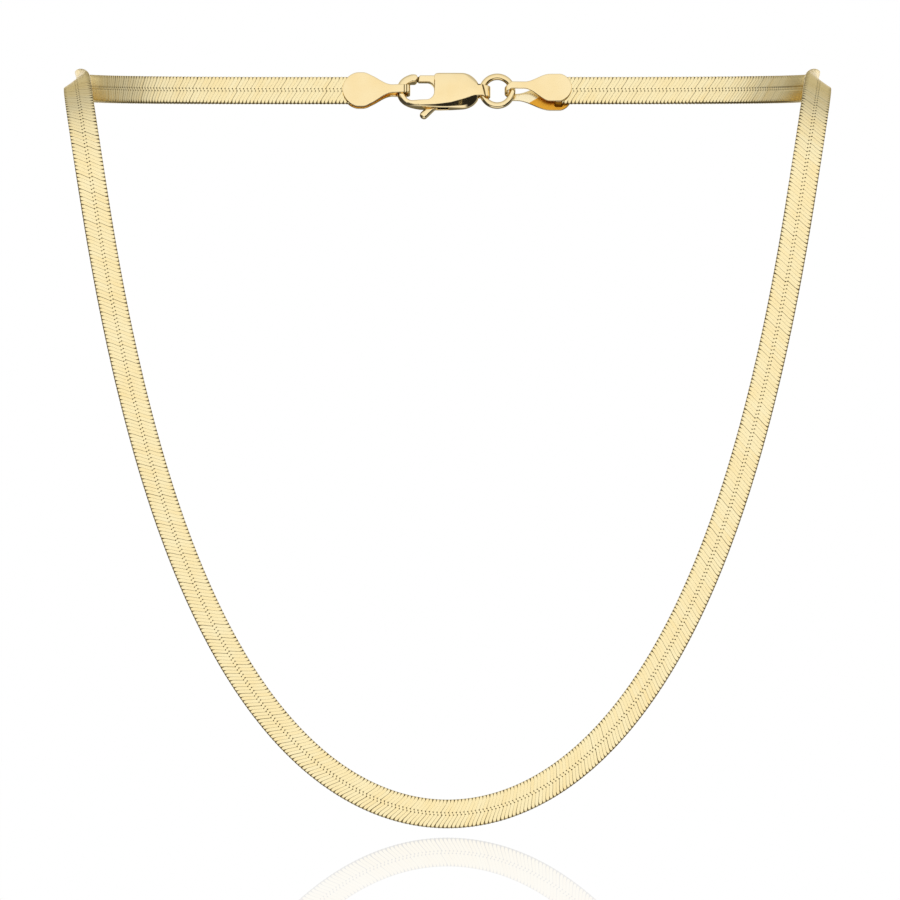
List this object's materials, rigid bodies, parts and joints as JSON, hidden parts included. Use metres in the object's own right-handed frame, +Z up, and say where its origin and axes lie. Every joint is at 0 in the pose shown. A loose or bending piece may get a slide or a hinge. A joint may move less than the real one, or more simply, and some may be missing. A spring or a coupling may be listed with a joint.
{
  "type": "herringbone chain necklace",
  "caption": "Flat gold herringbone chain necklace with folded end caps, a jump ring and a lobster clasp, closed into a whole loop as worn.",
  "frame": {"origin": "middle of the nape stretch, on the chain's middle line, where the neck holds the loop", "axes": "+Z up along the neck, -Y to the front, where the drop hangs, +X to the right seen from the front"},
  "size_m": [0.1124, 0.113, 0.1121],
  "materials": {
    "chain_gold": "polished pale yellow gold, woven flat links",
    "clasp_gold": "mirror polished pale yellow gold"
  },
  "bodies": {
    "necklace": {"chain": "chain_gold", "end_cap_left": "clasp_gold", "end_cap_right": "clasp_gold", "clasp_body": "clasp_gold", "jump_ring": "clasp_gold"},
    "lever": {"clasp_lever": "clasp_gold"}
  },
  "joints": [
    {"name": "clasp_lever_hinge", "type": "hinge", "parent": "necklace", "child": "lever", "pos_m": [-0.0009, 0.00023, 0.00087], "axis": [0, -0.9659, 0.2588], "range_deg": [0, 24], "stiffness_Nm_per_rad": 0.004, "springref_deg": -20.05}
  ]
}
